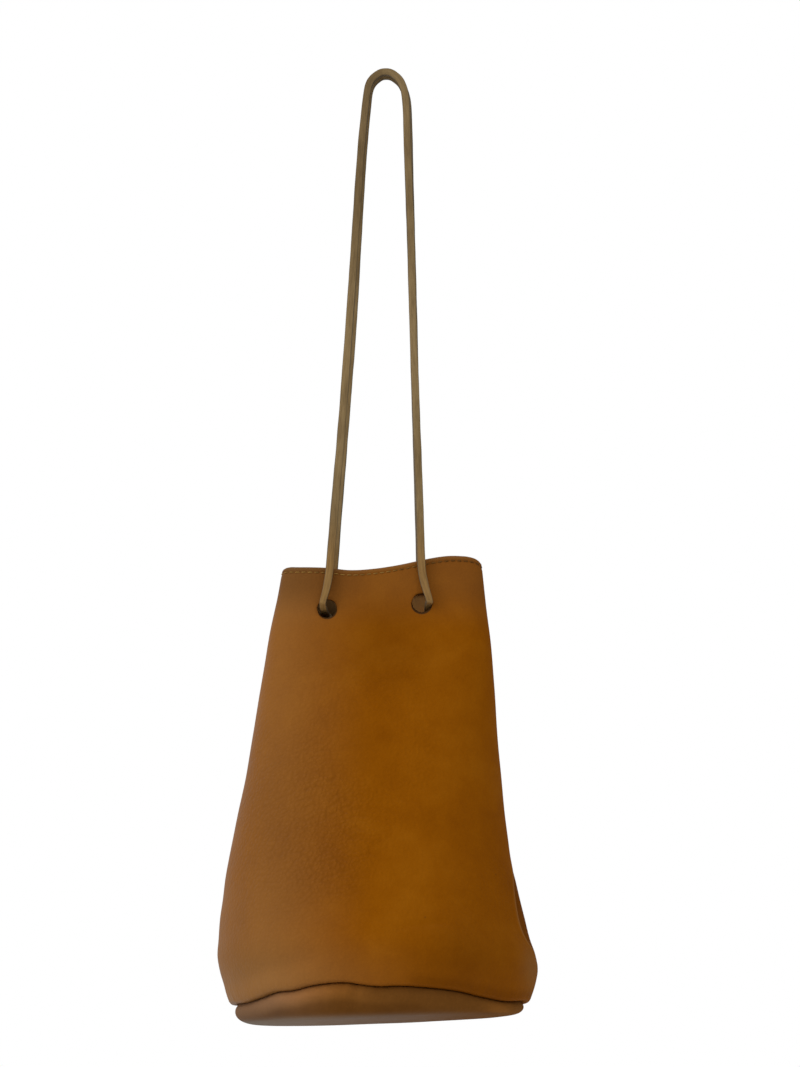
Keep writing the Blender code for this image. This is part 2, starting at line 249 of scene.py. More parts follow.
def lace_material(name):
    """Split leather lace: streaks run along it and its cut sides are darker."""
    nodes = Nodes(bpy.data.materials.new(name))
    place = nodes.rest()
    stretched = nodes.add("VectorMath", {0: place, 1: (1.0, 1.0, 0.08)}, operation="MULTIPLY").outputs[0]
    streaks = nodes.noise(stretched, 900.0, 4.0, 0.6, 0.4)
    bands = nodes.noise(place, 22.0)
    fuzz = nodes.noise(place, 1600.0, 3.0, 0.6)
    colour = nodes.ramp(
        nodes.weighted((streaks, 0.55), (bands, 0.45)),
        (0.36, (0.168, 0.109, 0.044)), (0.5, (0.232, 0.155, 0.066)), (0.66, (0.3, 0.208, 0.094)),
    )
    cut_side, dark, golden, _ = nodes.marks()
    colour = nodes.tint(golden, colour, (1.04, 0.86, 0.6))
    colour = nodes.mix(cut_side, colour, (0.1, 0.072, 0.042))
    # Painted shade: the lace darker high up, most on the left
    colour = nodes.tint(dark, colour, (0.45, 0.4, 0.35))
    return nodes.shaded(
        Base_Color=colour, Roughness=nodes.remap(streaks, 0.3, 0.7, 0.52, 0.7),
        Normal=nodes.bump(nodes.weighted((streaks, 0.7), (fuzz, 0.3)), 0.5, 0.5), Specular_IOR_Level=0.15,
    )


def thread_material(name, colour, shade_and_patch_colour):
    """Twisted thread, darker towards the right of the bag as painted shade, and in darker patches."""
    nodes = Nodes(bpy.data.materials.new(name))
    place = nodes.rest()
    twist = nodes.add("TexWave", {"Vector": place, "Scale": 900.0}, bands_direction="DIAGONAL").outputs["Fac"]
    darker = tuple(part * 0.6 for part in colour)
    twisted = nodes.ramp(twist, (0.2, darker), (0.8, colour))
    across = nodes.add("SeparateXYZ", {0: place}).outputs["X"]
    patches = nodes.remap(nodes.noise(place, 90.0, 2.0), 0.42, 0.62, 0.0, 0.5)
    # Painted shade towards the right of the bag, plus random darker patches
    shade_and_patches = nodes.plus(nodes.remap(across, 0.0, 0.05), patches)
    return nodes.shaded(
        Base_Color=nodes.mix(shade_and_patches, twisted, shade_and_patch_colour), Roughness=0.6, Normal=nodes.bump(twist, 0.5, 0.2),
        Specular_IOR_Level=0.1,
    )


GRAIN_LEATHER = leather_material(
    "caramel_leather", ((0.222, 0.062, 0.0006), (0.259, 0.076, 0.001), (0.295, 0.093, 0.0025)),
    wear_and_sheen_colour=(0.236, 0.128, 0.047), gloss=(1.0, 0.5, 0.08), level=0.045, rough=(0.36, 0.46),
)
BASE_LEATHER = leather_material(
    "base_leather", ((0.13, 0.046, 0.005), (0.157, 0.058, 0.008), (0.187, 0.073, 0.013)),
    wear_and_sheen_colour=(0.142, 0.11, 0.082), gloss=(1.0, 0.6, 0.2), level=0.02, rough=(0.55, 0.68),
)
FLESH_SIDE = flesh_material("flesh_side", (0.5, 0.265, 0.085), (0.66, 0.37, 0.13), sheen=0.15)
CUT_EDGE = flesh_material("cut_edge", (0.08, 0.03, 0.006), (0.133, 0.053, 0.012), sheen=0.0)
LACE = lace_material("lace_leather")
THREAD = thread_material("sewing_thread", (0.4, 0.21, 0.045), (0.12, 0.048, 0.007))


# ---- shape helpers
def smoothstep(value):
    t = np.clip(value, 0.0, 1.0)
    return t * t * (3 - 2 * t)


def rising(value, start, over):
    """0 up to the start, then smoothly up to 1 over a stretch."""
    return smoothstep((value - start) / over)


def falling(value, end, over):
    """Smoothly down from 1 to 0 over the stretch before the end."""
    return smoothstep((end - value) / over)


def bell(value, centre, width):
    return np.exp(-(((value - centre) / width) ** 2))


def noise_at(places, scale, shift=(0, 0, 0)):
    """Smooth noise at places, scaled along each axis and then shifted."""
    flat = places.reshape(-1, 3) * scale + shift
    return np.array([noise.noise(Vector(place)) for place in flat]).reshape(places.shape[:-1])


def curve(points, across=1.0, up=MM, beyond=0.0):
    """A smooth curve through scaled (place, value) points. It runs on straight for a share of
    its end stretches, then stays level."""
    xs = np.array([p[0] for p in points], float) * across
    ys = np.array([p[1] for p in points], float) * up
    slopes = np.gradient(ys, xs)

    def read(value):
        value = np.asarray(value, float)
        index = np.clip(np.searchsorted(xs, value) - 1, 0, len(xs) - 2)
        span = xs[index + 1] - xs[index]
        t = np.clip((value - xs[index]) / span, -beyond, 1 + beyond)
        inside = np.clip(t, 0.0, 1.0)
        hermite = (
            (2 * inside**3 - 3 * inside**2 + 1) * ys[index]
            + (inside**3 - 2 * inside**2 + inside) * span * slopes[index]
            + (3 * inside**2 - 2 * inside**3) * ys[index + 1]
            + (inside**3 - inside**2) * span * slopes[index + 1]
        )
        past = t - inside
        return hermite + past * span * np.where(past > 0, slopes[index + 1], slopes[index])

    return read


def band_faces(rings, around, closed=False):
    """Quads between each ring of points and the next, and back to the first when closed."""
    faces = []
    for ring in range(rings if closed else rings - 1):
        here = ring * around
        there = (ring + 1) % rings * around
        for side in range(around):
            beside = (side + 1) % around
            faces.append((here + side, here + beside, there + beside, there + side))
    return faces


def tube_faces(rings, around):
    """Bands of quads, closed at both ends."""
    faces = band_faces(rings, around)
    faces.append(tuple(range(around - 1, -1, -1)))
    faces.append(tuple(range((rings - 1) * around, rings * around)))
    return faces


def new_mesh(name, points, faces, turn_outward=True):
    """A smooth mesh of points that are given from the base seam's centre."""
    mesh = bpy.data.meshes.new(name)
    mesh.from_pydata([placed(p) for p in points], [], faces)
    if turn_outward:
        fix = bmesh.new()
        fix.from_mesh(mesh)
        bmesh.ops.recalc_face_normals(fix, faces=fix.faces)
        fix.to_mesh(mesh)
        fix.free()
    mesh.update()
    mesh.shade_smooth()
    return mesh


def set_marks(mesh, rest, marks):
    """Store each point's place at rest and its amounts of up to four marks."""
    store = mesh.attributes.new("rest", "FLOAT_VECTOR", "POINT")
    store.data.foreach_set("vector", np.asarray(rest, np.float32).ravel())
    store = mesh.attributes.new("marks", "FLOAT_COLOR", "POINT")
    colours = np.zeros((len(marks), 4), np.float32)
    colours[:, :marks.shape[1]] = marks
    store.data.foreach_set("color", colours.ravel())


def own_coords(mesh):
    """The mesh's points, from the base seam's centre."""
    return np.array([tuple(v.co) for v in mesh.vertices]) - np.array(SEAM_CENTRE)


def link(mesh, *materials):
    piece = bpy.data.objects.new(mesh.name, mesh)
    for material in materials:
        mesh.materials.append(material)
    bpy.context.scene.collection.objects.link(piece)
    return piece


def link_leather(mesh, face_kinds, grain):
    """Leather with its grain side, flesh side and cut edges, by the kind of each face."""
    slots = {"outside": 0, "rim": 0, "hem": 0, "inside": 1, "cut": 2}
    mesh.polygons.foreach_set("material_index", [slots[kind] for kind in face_kinds])
    return link(mesh, grain, FLESH_SIDE, CUT_EDGE)


def bend(piece):
    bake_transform(piece)


# ---- laces
LACE_WIDTH = 5.9 * MM
LACE_THICKNESS = 3.2 * MM
LACE_SPACING = 1.3 * MM
FRONT_LOOP = (
    (-0.0423, -0.028, 0.2865), (-0.0418, -0.0278, 0.289), (-0.0399, -0.0258, 0.297),
    (-0.038, -0.0226, 0.31), (-0.0368, -0.0218, 0.326), (-0.0342, -0.02, 0.365), (-0.0305, -0.0183, 0.415),
    (-0.027, -0.0163, 0.47), (-0.0232, -0.0138, 0.535), (-0.0198, -0.0112, 0.6), (-0.0162, -0.008, 0.665),
    (-0.0126, -0.0045, 0.708), (-0.0098, -0.0035, 0.725), (-0.003, -0.0032, 0.7331),
    (0.003, -0.0032, 0.735), (0.009, -0.0032, 0.7331), (0.0158, -0.0035, 0.725), (0.0194, -0.0045, 0.708),
    (0.0206, -0.008, 0.665), (0.0226, -0.0112, 0.6), (0.0242, -0.0138, 0.535), (0.0259, -0.0163, 0.47),
    (0.0275, -0.0183, 0.415), (0.0291, -0.02, 0.365), (0.0301, -0.0218, 0.326), (0.0312, -0.0226, 0.3105),
    (0.0336, -0.0258, 0.2985), (0.0356, -0.0278, 0.291), (0.0364, -0.028, 0.2878),
)
BACK_LOOP = (
    (-0.0415, 0.028, 0.2865), (-0.0415, 0.028, 0.289), (-0.0395, 0.0268, 0.297), (-0.0372, 0.0226, 0.31),
    (-0.0358, 0.0218, 0.326), (-0.0333, 0.02, 0.365), (-0.0297, 0.0183, 0.415), (-0.026, 0.0163, 0.47),
    (-0.0217, 0.0138, 0.535), (-0.0186, 0.0112, 0.6), (-0.015, 0.008, 0.665), (-0.0116, 0.0045, 0.708),
    (-0.009, 0.0035, 0.725), (-0.0024, 0.0032, 0.7331), (0.0034, 0.0032, 0.735), (0.0096, 0.0032, 0.7331),
    (0.0168, 0.0035, 0.725), (0.0208, 0.0045, 0.708), (0.022, 0.008, 0.665), (0.0235, 0.0112, 0.6),
    (0.025, 0.0138, 0.535), (0.0264, 0.0163, 0.47), (0.0278, 0.0183, 0.415), (0.0291, 0.02, 0.365),
    (0.0301, 0.0218, 0.326), (0.0316, 0.0226, 0.31), (0.0345, 0.0268, 0.297), (0.0355, 0.028, 0.289),
    (0.0355, 0.028, 0.2865),
)
RIGHT_CROSSING = (
    (0.0364, -0.028, 0.2873), (0.036, -0.0255, 0.2876), (0.0356, -0.0215, 0.2874), (0.0355, -0.012, 0.2856),
    (0.0355, 0.0, 0.2842), (0.0355, 0.012, 0.2838), (0.0355, 0.0215, 0.284), (0.0355, 0.0255, 0.285),
    (0.0355, 0.028, 0.2865),
)
LEFT_CROSSING = (
    (-0.0423, -0.028, 0.2865), (-0.0422, -0.0255, 0.2848), (-0.0418, -0.0215, 0.2835),
    (-0.0415, -0.012, 0.2832), (-0.0415, 0.0, 0.283), (-0.0415, 0.012, 0.2832), (-0.0415, 0.0215, 0.2835),
    (-0.0415, 0.0255, 0.2848), (-0.0415, 0.028, 0.2865),
)
LACE_END_FRONT = (
    (-0.0418, -0.002, 0.279), (-0.042, -0.0028, 0.2752), (-0.0424, -0.0034, 0.268),
    (-0.0418, -0.0048, 0.259),
)
LACE_END_BACK = (
    (-0.0412, 0.002, 0.279), (-0.041, 0.0028, 0.2752), (-0.0404, 0.0036, 0.269), (-0.0396, 0.0044, 0.262),
)


def smooth_route(route):
    steps = 10
    points = [Vector(p) for p in route]
    padded = [2 * points[0] - points[1], *points, 2 * points[-1] - points[-2]]
    line = []
    for index in range(1, len(padded) - 2):
        before, start, end, after = padded[index - 1:index + 3]
        for step in range(steps):
            t = step / steps
            line.append(0.5 * (
                2 * start + (end - before) * t
                + (2 * before - 5 * start + 4 * end - after) * t**2
                + (3 * start - before - 3 * end + after) * t**3
            ))
    line.append(points[-1])
    return line


def resampled(line):
    """The same line as evenly spaced points, and its length."""
    lengths = np.concatenate(([0.0], np.cumsum([(b - a).length for a, b in zip(line, line[1:])])))
    count = max(int(round(lengths[-1] / LACE_SPACING)), 4)
    wanted = np.linspace(0.0, lengths[-1], count + 1)
    coords = np.array([tuple(p) for p in line])
    columns = [np.interp(wanted, lengths, coords[:, axis]) for axis in range(3)]
    return [Vector(p) for p in zip(*columns)], lengths[-1]


def lace_section():
    """A rectangle with softened corners, as (across, through) points."""
    corner = 0.22 * LACE_THICKNESS
    points = []
    for across, through, start in ((1, 1, 0), (-1, 1, 1), (-1, -1, 2), (1, -1, 3)):
        for step in range(4):
            turn = pi / 2 * (start + step / 3)
            points.append((
                across * (LACE_WIDTH / 2 - corner) + corner * cos(turn),
                through * (LACE_THICKNESS / 2 - corner) + corner * sin(turn),
            ))
    return points


def lace_marks(a, centre):
    """Cut side, dark and golden amounts: dark is painted shade, high up and most on the left, and golden low
    down.
    """
    cut_side = 0.85 * rising(abs(a) / (LACE_WIDTH / 2), 0.8, 0.2)
    painted_shade = 0.5 if centre.x < 0 else 0.24
    return cut_side, painted_shade * rising(centre.z, 0.48, 0.16), falling(centre.z, 0.37, 0.06)


def end_stations(side):
    """A rounded end as (distance on along the route, thickness, width) of four rings, tip first."""
    stations = []
    for step in range(4):
        angle = pi / 2 * (1 - step / 4)
        stations.append((
            side * LACE_THICKNESS / 2 * sin(angle), max(cos(angle), 0.06), 1 - 0.05 * sin(angle),
        ))
    return stations


def sweep_lace(name, route, seed, hanging=False, round_ends=True):
    """The lace along a route, pinched at both ends, where it enters a hole. Hanging lace faces
    the front and twists a little. Returns the piece, its centreline and its length."""
    line, length = resampled(smooth_route(route))
    section = lace_section()
    points = []
    rest = []
    marks = []
    travelled = 0.0
    for index, centre in enumerate(line):
        tangent = (line[min(index + 1, len(line) - 1)] - line[max(index - 1, 0)]).normalized()
        if index:
            travelled += (centre - line[index - 1]).length
        to_end = min(travelled, length - travelled)
        pinch = 0.82 + 0.18 * float(smoothstep(to_end / 0.02))
        if hanging:
            across = Vector((0, 1, 0)).cross(tangent).normalized()
            sway = noise.noise(Vector((travelled * 9, seed * 7.3, 0.2)))
            turn = 0.5 * float(smoothstep(to_end / 0.05)) * sway
            across = Matrix.Rotation(turn, 3, tangent) @ across
        else:
            across = Vector((1, 0, 0))
            across = (across - tangent * across.dot(tangent)).normalized()
        through = tangent.cross(across).normalized()
        stations = [(0.0, 1.0, 1.0)]
        if index == 0 and round_ends:
            stations = end_stations(-1) + stations
        if index == len(line) - 1 and round_ends:
            stations = stations + end_stations(1)[::-1]
        for onward, thick, wide in stations:
            middle = centre + tangent * onward
            for a, t in section:
                wobble = 1.0 + 0.05 * noise.noise(Vector((travelled * 60, a * 900, seed)))
                points.append(
                    middle + across * (a * wobble * pinch * wide) + through * (t * thick * wobble)
                )
                rest.append((a, t, travelled + seed * 3))
                marks.append(lace_marks(a, middle))
    sides = len(section)
    mesh = new_mesh(name, points, tube_faces(len(points) // sides, sides))
    set_marks(mesh, rest, np.array(marks))
    return link(mesh, LACE), [placed(p) for p in line], length


def stand_for(lace, *node_names):
    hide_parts(*node_names)


def hang_loop(name, route, seed, body_name, node_name):
    loop, line, length = sweep_lace(name, route, seed, hanging=True)
    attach(loop, body_name)
    stand_for(loop, node_name)


def thread_holes(name, route, seed, node_names):
    """The short run of lace from a front hole to the back hole behind it."""
    lace, line, length = sweep_lace(name, route, seed)
    bend(lace)
    stand_for(lace, *node_names)


def make_knot():
    """An overhand knot drawn tight, as a lace wound three times round itself."""
    centre = Vector((-0.0415, 0.0, 0.283))
    size = 1.55 * MM
    count = 96
    sides = 12
    line = []
    for step in range(count):
        t = tau * step / count
        line.append(centre + Vector((
            size * (sin(t) + 2 * sin(2 * t)), size * (cos(t) - 2 * cos(2 * t)), 1.35 * size * -sin(3 * t),
        )))
    section = [(1.75 * MM * cos(tau * k / sides), 1.4 * MM * sin(tau * k / sides)) for k in range(sides)]
    points = []
    rest = []
    for step, place in enumerate(line):
        tangent = (line[(step + 1) % count] - line[step - 1]).normalized()
        out = place - centre
        out = (out - tangent * out.dot(tangent)).normalized()
        other = tangent.cross(out)
        for a, t in section:
            points.append(place + other * a + out * t)
            rest.append((a, t, 9 + step * 0.0004))
    mesh = new_mesh("lace_knot_tied", points, band_faces(count, sides, closed=True), turn_outward=False)
    # A little cut-side colour and painted shade over the whole knot
    set_marks(mesh, rest, np.tile((0.15, 0.1, 0.0), (len(rest), 1)))
    return link(mesh, LACE)


hang_loop("front_lace_loop", FRONT_LOOP, 1.0, "front_loop", "front_strap")
hang_loop("back_lace_loop", BACK_LOOP, 2.0, "back_loop", "back_strap")
thread_holes("lace_through_right_holes", RIGHT_CROSSING, 3.0, ["lace_crossing_right"])
knot = make_knot()
bend(knot)
stand_for(knot, "lace_knot")
for name, route, seed, node_name in (
    ("lace_end_front_tail", LACE_END_FRONT, 5.0, "lace_end_front"),
    ("lace_end_back_tail", LACE_END_BACK, 6.0, "lace_end_back"),
):
    tail, _, _ = sweep_lace(name, route, seed, round_ends=False)
    bend(tail)
    stand_for(tail, node_name)
thread_holes(
    "lace_through_left_holes", LEFT_CROSSING, 4.0,
    ["lace_crossing_left_front", "lace_crossing_left_back"],
)


# ---- body outline
# Half widths to the left and right and half depth, in millimetres at heights above the seam
WIDTH_LEFT = curve((
    (0, 106.5), (4, 108.1), (12, 110.3), (22, 113.4), (31, 115.2), (44, 114.7), (58, 114), (73, 112.2),
    (87, 110.8), (101, 108.7), (130, 104.1), (160, 98.2), (190, 93.5), (235, 86.9), (265, 83),
    (296, 77.3), (317, 74),
), across=MM, beyond=0.5)
WIDTH_RIGHT = curve((
    (0, 106.2), (4, 107.9), (13, 111.4), (22, 113.4), (30, 112.7), (44, 108), (58, 104.6), (73, 100.9),
    (87, 97.9), (101, 94.8), (116, 92.7), (130, 91), (160, 88.6), (190, 86.6), (235, 83.9), (265, 81.8),
    (296, 78.6), (317, 76.6),
), across=MM, beyond=0.5)
DEPTH = curve((
    (0, 104.5), (12, 109.5), (30, 111), (58, 100), (87, 88.5), (116, 78), (150, 66.8), (190, 54),
    (235, 39.5), (265, 29.5), (285, 23.8), (300, 20.5), (317, 18.5),
), across=MM, beyond=0.5)
# Heights of the base seam, in millimetres, by angle from the right by way of the front
SEAM_HEIGHTS = curve((
    (0, -0.2), (12, 0.2), (22, -1.4), (32, -2.6), (49, -0.8), (60, 1.9), (70, 3.1), (82, 4.1), (91, 3.7),
    (96, 4.8), (101, 6.2), (109, 6.1), (116, 4.8), (123, 2.6), (132, 1.9), (141, -0.8), (152, -2.9),
    (162, -2.6), (172, -1.8), (180, -1.6), (215, 2), (250, 3.8), (290, 3.4), (325, 1), (360, -0.2),
))
# Heights of the mouth's edge, in millimetres, from left to right as a share of the half width
RIM_FRONT = curve((
    (-1.0, 318.4), (-0.95, 318.6), (-0.86, 317.9), (-0.7, 317.2), (-0.54, 316.5), (-0.33, 314.6),
    (-0.06, 315.7), (0.2, 318.9), (0.4, 322.4), (0.55, 324.8), (0.68, 326.2), (0.8, 326.5), (0.9, 326.2),
    (0.96, 325.2), (1.0, 323.4),
))
RIM_BACK = curve((
    (-1.0, 318.4), (-0.8, 317.6), (-0.3, 316.2), (0.2, 317), (0.7, 318.4), (0.9, 321), (1.0, 323.4),
))
# How far the right side seam swings round to the front, in degrees at heights in millimetres
SEAM_TURN = curve((
    (0, 0), (18, 1.5), (27, 5), (33, 10.5), (38, 16), (44, 19.2), (52, 20.6), (62, 20), (72, 18.2),
    (82, 15), (92, 10.2), (104, 6), (120, 3.4), (145, 1.6), (180, 0.5), (220, 0), (330, 0),
), across=MM, up=1.0)

SEAM_OFFSETS = np.array((0.0, 0.4, 0.8, 1.3, 1.9, 2.7, 3.7, 5.2)) * MM
NEAR = len(SEAM_OFFSETS)
MIDDLE_COLUMNS = 150
HALF_COLUMNS = 2 * NEAR + MIDDLE_COLUMNS - 1
COLUMNS = 2 * HALF_COLUMNS
# The mouth's edge is folded in as a hem, whose outside starts to round over at RIM_START
HEM = 12.0 * MM
RIM_START = HEIGHT - LEATHER
STITCH_DROP = 4.2 * MM
# The panels' lower edge rolls in and ends as a flat allowance, sewn on the base
ROLL = 2.4 * MM
FLANGE_RADIUS = 97.5 * MM
# A turned side-seam allowance: millimetres inward from the seam and sideways, column by column
ALLOWANCE = (
    (5.6, 0.0), (9.0, 0.22), (9.25, 0.75), (9.2, 1.6), (8.9, 2.3), (5.6, 2.4), (3.5, 2.7), (2.35, 4.9),
)


def seam_height(angle):
    return SEAM_HEIGHTS(np.degrees(angle) % 360)


def seam_turn(height):
    return np.radians(SEAM_TURN(height))


def rim_height(share, front):
    return np.where(front, RIM_FRONT(share), RIM_BACK(share))


def signed_power(value, power):
    return np.sign(value) * np.abs(value) ** power


def outline(angle, height, inset):
    """The body's x and y at an angle from the right: round at the base, boxier at the mouth."""
    c = np.cos(angle)
    wide = np.where(c >= 0, WIDTH_RIGHT(height), WIDTH_LEFT(height)) - inset
    deep = DEPTH(height) - inset
    power = 2 / (2.0 + 1.5 * np.clip(height / HEIGHT, 0, 1.05) ** 1.5)
    return wide * signed_power(c, power), -deep * signed_power(np.sin(angle), power)


@cache
def column_angles(height):
    """Angles of the columns, evenly along each half's outline but close at the side seams."""
    halves = []
    for start in (0.0, pi):
        fine = np.linspace(0.0, pi, 1441) + start
        x, y = outline(fine, np.full(fine.shape, height), 0.0)
        lengths = np.concatenate(([0.0], np.cumsum(np.hypot(np.diff(x), np.diff(y)))))
        total = lengths[-1]
        middle = np.linspace(SEAM_OFFSETS[-1], total - SEAM_OFFSETS[-1], MIDDLE_COLUMNS + 2)[1:-1]
        wanted = np.concatenate((SEAM_OFFSETS, middle, total - SEAM_OFFSETS[::-1]))
        halves.append(np.interp(wanted, lengths, fine)[:-1])
    return np.concatenate(halves)


def behind_seam(x, y, height):
    """How far back a place on the body is from its side seam, in metres along Y."""
    _, seam_y = outline(seam_turn(height), height, 0.0)
    return y - np.where(x > 0, seam_y, 0.0)


# ---- body
def relief(x, y, z, angle):
    """How far the leather stands out from the smooth form, in metres."""
    places = np.stack((x, y, z), -1)
    waves = 0.9 * noise_at(places, (13, 13, 11)) + 0.35 * noise_at(places, (34, 34, 30), (7, 0, 0))
    out = waves * falling(z, HEIGHT, 0.05) * rising(z, 0.0, 0.02)
    # The front panel's edge stands proud where the right seam turns forward
    run = rising(z, 0.026, 0.012) * falling(z, 0.112, 0.03) * (x > 0)
    behind = behind_seam(x, y, z) / MM
    out += run * (1.1 * bell(behind, -3.6, 2.6) - 1.5 * bell(behind, 5.0, 6.5))
    # A faint fold low on the front right, and one rising from the left of the base
    fold = 0.043 + 0.004 * np.sin((x - 0.02) * 40)
    stretch = rising(x, 0.006, 0.01) * falling(x, 0.052, 0.012) * (y < 0)
    out -= 0.9 * bell(z, fold, 0.002) * stretch
    low = 0.016 + 0.006 * np.sin((x + 0.05) * 28)
    out += 0.9 * bell(z, low, 0.0045) * bell(x, -0.035, 0.035) * (y < 0)
    # Puckers where the panel is gathered into the base seam
    deg = np.degrees(angle) % 360
    gather = np.sin(deg * 1.9 + 3 * np.sin(deg * 0.21)) * 0.6 + np.sin(deg * 4.7 + 1.3) * 0.4
    out += 0.22 * gather * bell(z, 0.003, 0.01)
    return out * MM


def body_rows():
    """(nominal height, inset, kind) of every row, in a closed loop: up the outside, over the rim,
    down the hem and the inside, and round the allowance, which has a radius and no inset."""
    rows = []
    for height in (0.0, 0.15, 0.4, 0.8, 1.3, 1.9):
        share = height * MM / ROLL
        rows.append((height * MM, ROLL * (1 - np.sqrt(1 - (1 - share) ** 2)), "outside"))
    rows += [(height, 0.0, "outside") for height in np.linspace(ROLL, HEIGHT - 0.011, 128)]
    rows += [(height, 0.0, "outside") for height in np.arange(HEIGHT - 0.0104, RIM_START, 0.0005)]
    for step in range(10):
        turn = pi * step / 9
        rows.append((RIM_START + LEATHER * sin(turn), LEATHER * (1 - cos(turn)), "rim"))
    hem_end = HEIGHT - HEM
    hem = np.linspace(RIM_START - 0.0006, hem_end + 0.0003, 16)
    rows += [(height, 2 * LEATHER, "hem") for height in hem]
    rows.append((hem_end, 2 * LEATHER - 0.0003, "hem"))
    rows.append((hem_end, LEATHER + 0.0004, "cut"))
    rows.append((hem_end - 0.0004, LEATHER, "cut"))
    rows += [(height, LEATHER, "inside") for height in np.linspace(hem_end - 0.003, 0.007, 76)]
    for height, inset in ((5.0, 2.4), (3.6, 3.0), (2.7, 4.2), (2.25, 5.6)):
        rows.append((height * MM, inset * MM, "inside"))
    rows.append((LEATHER, None, "inside", FLANGE_RADIUS))
    rows.append((LEATHER - 0.0003, None, "cut", FLANGE_RADIUS - 0.0003))
    rows.append((0.0003, None, "cut", FLANGE_RADIUS - 0.0003))
    rows.append((0.0, None, "outside", FLANGE_RADIUS))
    return rows


def groove_seams(x, depth):
    """Draw the outside in along both side seams."""
    index = np.arange(COLUMNS)
    for columns_off, hand in ((np.minimum(index, COLUMNS - index), 1), (abs(index - HALF_COLUMNS), -1)):
        distance = SEAM_OFFSETS[np.clip(columns_off, 0, NEAR - 1)]
        groove = 1.9 * MM * np.clip(1 - distance / (2.6 * MM), 0, 1) ** 1.6
        x = np.where(columns_off < NEAR, x - hand * groove * depth, x)
    return x


def turn_allowances(x, y, outer_x, outer_y, share):
    """Move the inside's columns at both side seams on to the turned allowances, by a share."""
    for seam_column in (0, HALF_COLUMNS):
        before = seam_column - NEAR
        after = (seam_column + NEAR) % COLUMNS
        along = np.array((x[after] - x[before], y[after] - y[before]))
        along /= np.hypot(*along)
        outside = np.array((outer_x[seam_column], outer_y[seam_column]))
        inwards = np.array((-along[1], along[0]))
        if inwards @ outside > 0:
            inwards = -inwards
        for offset in range(-NEAR + 2, NEAR - 1):
            column = (seam_column + offset) % COLUMNS
            inward, aside = ALLOWANCE[abs(offset)]
            target = outside + inwards * inward * MM + along * np.sign(offset) * aside * MM
            x[column] = x[column] * (1 - share) + target[0] * share
            y[column] = y[column] * (1 - share) + target[1] * share


def body_ring(nominal, inset, kind, flange=None):
    """The points of one row round the body."""
    angle = column_angles(round(min(nominal, HEIGHT), 5))
    from_right = (angle + pi) % tau - pi
    angle = angle + seam_turn(nominal) * np.exp(-((from_right / 0.6) ** 2))
    c = np.cos(angle)
    s = np.sin(angle)
    rise = (rim_height(signed_power(c, 2 / 3.5), s > 0) - HEIGHT) * rising(nominal, 0.21, HEIGHT - 0.225)
    z = nominal + rise + seam_height(angle) * (1 - smoothstep(nominal / 0.07))
    if flange:
        return np.stack((flange * c, -flange * s, z), 1)
    x, y = outline(angle, z, inset)
    outer_x, outer_y = outline(angle, z, 0.0)
    # The stitches draw the leather in along their line, from both faces
    push = relief(outer_x, outer_y, z, angle)
    if kind in ("outside", "rim", "hem"):
        side = -1.0 if kind == "hem" else 1.0
        push = push - side * 0.3 * MM * bell(nominal, HEIGHT - STITCH_DROP, 0.0011)
    out_x = signed_power(c, 1.3)
    out_y = -signed_power(s, 1.3) * 1.2
    size = np.hypot(out_x, out_y)
    x = x + out_x / size * push
    y = y + out_y / size * push
    if kind in ("outside", "rim"):
        x = groove_seams(x, 1.0 if kind == "outside" else max(1 - inset / LEATHER, 0.35))
    else:
        share = float(falling(nominal, RIM_START, 0.004)) if kind == "hem" else 1.0
        turn_allowances(x, y, outer_x, outer_y, share)
    return np.stack((x, y, z), 1)


def make_body(points, kinds):
    """One skin over both panels."""
    face_kinds = []
    for kind, following in zip(kinds, kinds[1:] + kinds[:1]):
        face_kinds += [following if following in ("inside", "cut") else kind] * COLUMNS
    faces = [(b, a, d, c) for a, b, c, d in band_faces(len(kinds), COLUMNS, closed=True)]
    mesh = new_mesh("leather_body", points.reshape(-1, 3), faces, turn_outward=False)
    return link_leather(mesh, face_kinds, GRAIN_LEATHER)


rows = body_rows()
body_kinds = [row[2] for row in rows]
body_points = np.stack([body_ring(*row) for row in rows])
body = make_body(body_points, body_kinds)

# The four lace holes: x, the side in y, and z
HOLE_RADIUS = 7.25 * MM
HOLES = ((-0.0393, -1, 0.2835), (0.0308, -1, 0.2882), (-0.0388, 1, 0.2798), (0.0316, 1, 0.2802))


def punch(piece, name, x, side, z):
    """Cut a round hole, slightly dished on the outside as a punch leaves it."""
    surface = float(DEPTH(z))
    around = 48
    points = []
    for beyond, wider in ((-12.0, 0.0), (-0.7, 0.0), (-0.1, 0.5), (12.0, 10.5)):
        depth = side * (surface + beyond * MM)
        radius = HOLE_RADIUS + wider * MM
        for k in range(around):
            points.append((x + radius * cos(tau * k / around), depth, z + radius * sin(tau * k / around)))
    faces = band_faces(4, around)
    faces.append(tuple(range(around)))
    faces.append(tuple(range(3 * around, 4 * around)))
    cutter = link(new_mesh(name, points, faces), CUT_EDGE)
    cut = piece.modifiers.new(name, "BOOLEAN")
    cut.operation = "DIFFERENCE"
    cut.solver = "EXACT"
    cut.material_mode = "TRANSFER"
    cut.object = cutter
    return cutter


cutters = [punch(body, f"hole_punch_{n}", *hole) for n, hole in enumerate(HOLES)]
punched = body.evaluated_get(bpy.context.evaluated_depsgraph_get())
punched_mesh = bpy.data.meshes.new_from_object(punched)
body.modifiers.clear()
body.data = punched_mesh
for cutter in cutters:
    bpy.data.objects.remove(cutter, do_unlink=True)


